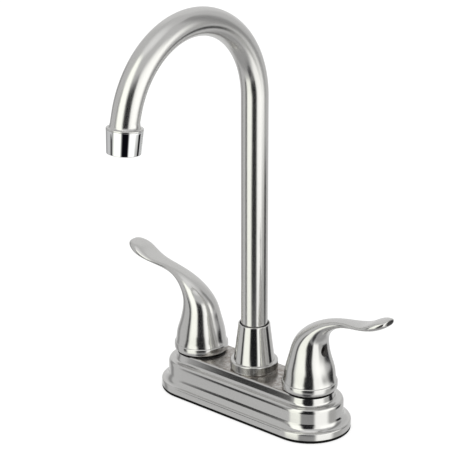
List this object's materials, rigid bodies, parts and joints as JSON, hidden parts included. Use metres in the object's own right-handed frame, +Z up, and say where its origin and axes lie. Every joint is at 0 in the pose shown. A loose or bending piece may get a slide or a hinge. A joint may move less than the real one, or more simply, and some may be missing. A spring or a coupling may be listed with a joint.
{
  "type": "gooseneck bar faucet",
  "caption": "Two-handle centerset bar faucet with a swivelling gooseneck spout, lever handles on bell skirts and a long stepped base.",
  "frame": {"origin": "centre of the base gasket's underside, on the deck, on the spout's swivel axis", "axes": "+Z up from the deck along the spout's riser, X along the base from the left handle to the right, -Y towards the user, where the spout points"},
  "size_m": [0.2356, 0.1675, 0.3534],
  "materials": {
    "brushed_nickel_base": "satin brushed nickel, grain along the base",
    "brushed_nickel_handle": "satin brushed nickel",
    "brushed_nickel_nut": "satin brushed nickel with a knurled band",
    "brushed_nickel_spout": "satin brushed nickel, grain round the tube",
    "polished_chrome": "mirror polished chrome",
    "brass": "cast and turned brass",
    "zinc_steel": "plain steel",
    "white_nylon": "moulded nylon",
    "black_nylon": "moulded nylon",
    "black_gasket": "black foam rubber",
    "black_rubber": "black rubber",
    "ceramic": "lapped alumina ceramic"
  },
  "bodies": {
    "base": {"base_cover": "brushed_nickel_base", "base_gasket": "black_gasket", "waterway_casting": "brass", "left_shank": "brass", "right_shank": "brass", "left_shank_washer": "zinc_steel", "right_shank_washer": "zinc_steel", "left_lock_nut": "white_nylon", "right_lock_nut": "white_nylon", "left_hold_down_nut": "brass", "right_hold_down_nut": "brass", "left_cartridge_body": "brass", "right_cartridge_body": "brass", "left_cartridge_o_ring": "black_rubber", "right_cartridge_o_ring": "black_rubber", "left_seat_seal": "black_rubber", "right_seat_seal": "black_rubber", "left_fixed_disc": "ceramic", "right_fixed_disc": "ceramic", "spout_nut": "brushed_nickel_nut", "spout_thrust_washer": "white_nylon", "nut_guide_bush": "black_nylon"},
    "spout": {"spout_tube": "brushed_nickel_spout", "spout_foot": "brass", "lower_spout_o_ring": "black_rubber", "upper_spout_o_ring": "black_rubber", "aerator_washer": "black_rubber", "aerator_insert": "white_nylon", "aerator_screen": "zinc_steel", "aerator_housing": "polished_chrome"},
    "left_handle": {"left_lever_handle": "brushed_nickel_handle", "left_set_screw": "zinc_steel", "left_stem": "brass", "left_stem_o_ring": "black_rubber", "left_moving_disc": "ceramic"},
    "right_handle": {"right_lever_handle": "brushed_nickel_handle", "right_set_screw": "zinc_steel", "right_stem": "brass", "right_stem_o_ring": "black_rubber", "right_moving_disc": "ceramic"}
  },
  "joints": [
    {"name": "spout_swivel", "type": "hinge", "parent": "base", "child": "spout", "pos_m": [0, 0, 0.041], "axis": [0, 0, 1], "continuous": true},
    {"name": "left_handle_turn", "type": "hinge", "parent": "base", "child": "left_handle", "pos_m": [-0.0508, 0, 0.03], "axis": [0, 0, 1], "range_deg": [0, 90]},
    {"name": "right_handle_turn", "type": "hinge", "parent": "base", "child": "right_handle", "pos_m": [0.0508, 0, 0.03], "axis": [0, 0, 1], "range_deg": [-90, 0]}
  ]
}
